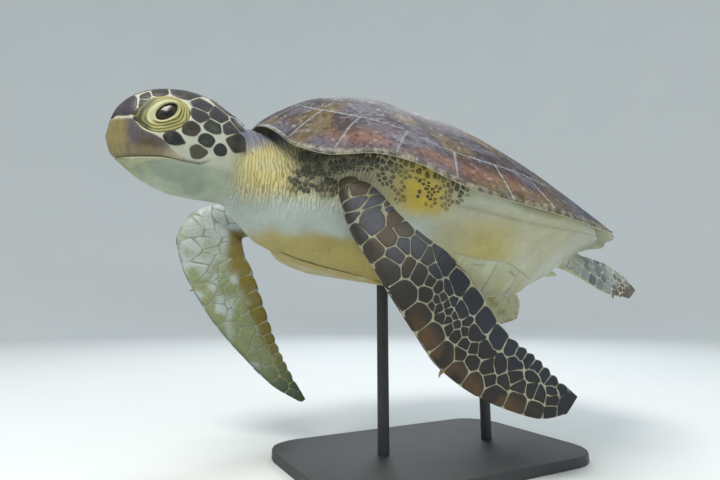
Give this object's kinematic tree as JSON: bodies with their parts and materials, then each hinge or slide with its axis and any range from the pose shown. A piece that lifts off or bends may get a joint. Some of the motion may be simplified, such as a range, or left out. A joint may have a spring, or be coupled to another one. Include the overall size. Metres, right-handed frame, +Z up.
{
  "type": "green sea turtle",
  "caption": "Life-size juvenile green sea turtle in a swimming stroke, front flippers swept down, a still display model held over a flat base by short rods.",
  "frame": {"origin": "centre of the stand base's underside, on the floor", "axes": "+Z up, the turtle faces -Y, its left side is +X"},
  "size_m": [0.3633, 0.5967, 0.3769],
  "materials": {
    "carapace": "horny scutes, streaked purple-brown and grey, satin wet sheen",
    "plastron": "smooth cream to ochre scutes, satin",
    "skin": "wrinkled pale skin, yellow and dark in the folds",
    "scales": "dark brown-black scales with cream borders, satin",
    "beak": "streaked olive-tan horn, satin",
    "eye": "wet, near black, high gloss",
    "claw": "horn, satin",
    "stand": "black powder coat, satin"
  },
  "bodies": {
    "root": {"nuchal": "carapace", "vertebral_1": "carapace", "vertebral_2": "carapace", "vertebral_3": "carapace", "vertebral_4": "carapace", "vertebral_5": "carapace", "costal_left_1": "carapace", "costal_left_2": "carapace", "costal_left_3": "carapace", "costal_left_4": "carapace", "costal_right_1": "carapace", "costal_right_2": "carapace", "costal_right_3": "carapace", "costal_right_4": "carapace", "marginals_front_left": "carapace", "marginals_front_right": "carapace", "marginals_bridge_left": "carapace", "marginals_bridge_right": "carapace", "marginals_rear_left": "carapace", "marginals_rear_right": "carapace", "plastron_gulars": "plastron", "plastron_humerals": "plastron", "plastron_pectorals": "plastron", "plastron_abdominals": "plastron", "plastron_femorals": "plastron", "plastron_anals": "plastron", "bridge_left": "plastron", "bridge_right": "plastron", "neck": "skin", "trunk": "skin", "tail": "skin", "head": "scales", "front_flipper_left": "scales", "front_flipper_right": "scales", "hind_flipper_left": "scales", "hind_flipper_right": "scales", "upper_beak": "beak", "lower_beak": "beak", "eye_left": "eye", "eye_right": "eye", "front_claw_left": "claw", "front_claw_right": "claw", "hind_claw_left": "claw", "hind_claw_right": "claw", "stand_base": "stand", "stand_rod_front": "stand", "stand_rod_rear": "stand"}
  },
  "joints": []
}
